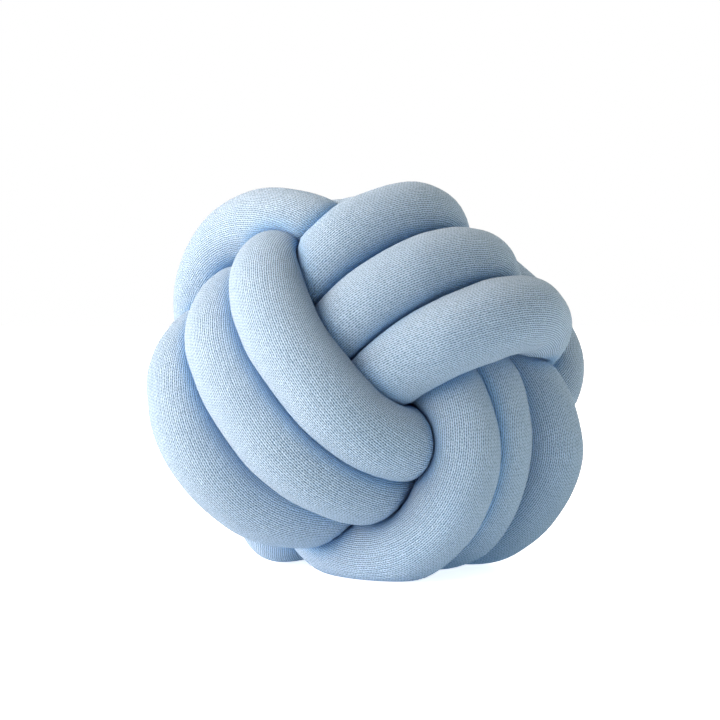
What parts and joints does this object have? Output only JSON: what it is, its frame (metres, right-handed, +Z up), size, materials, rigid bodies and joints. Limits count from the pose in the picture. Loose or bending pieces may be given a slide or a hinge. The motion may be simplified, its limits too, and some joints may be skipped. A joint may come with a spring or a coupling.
{
  "type": "knot cushion",
  "caption": "Ball-shaped cushion tied from a long stuffed tube of fine light blue jersey, in a knot of interlocked bands.",
  "frame": {"origin": "on the surface that the cushion rests on, under the ball's middle", "axes": "+Z up; -Y towards the viewer of the picture; +X to that viewer's right"},
  "size_m": [0.3038, 0.294, 0.2655],
  "materials": {
    "jersey": "matte fine jersey knit, columns of stitches along the tube"
  },
  "bodies": {
    "root": {"knotted_tube": "jersey"}
  },
  "joints": []
}
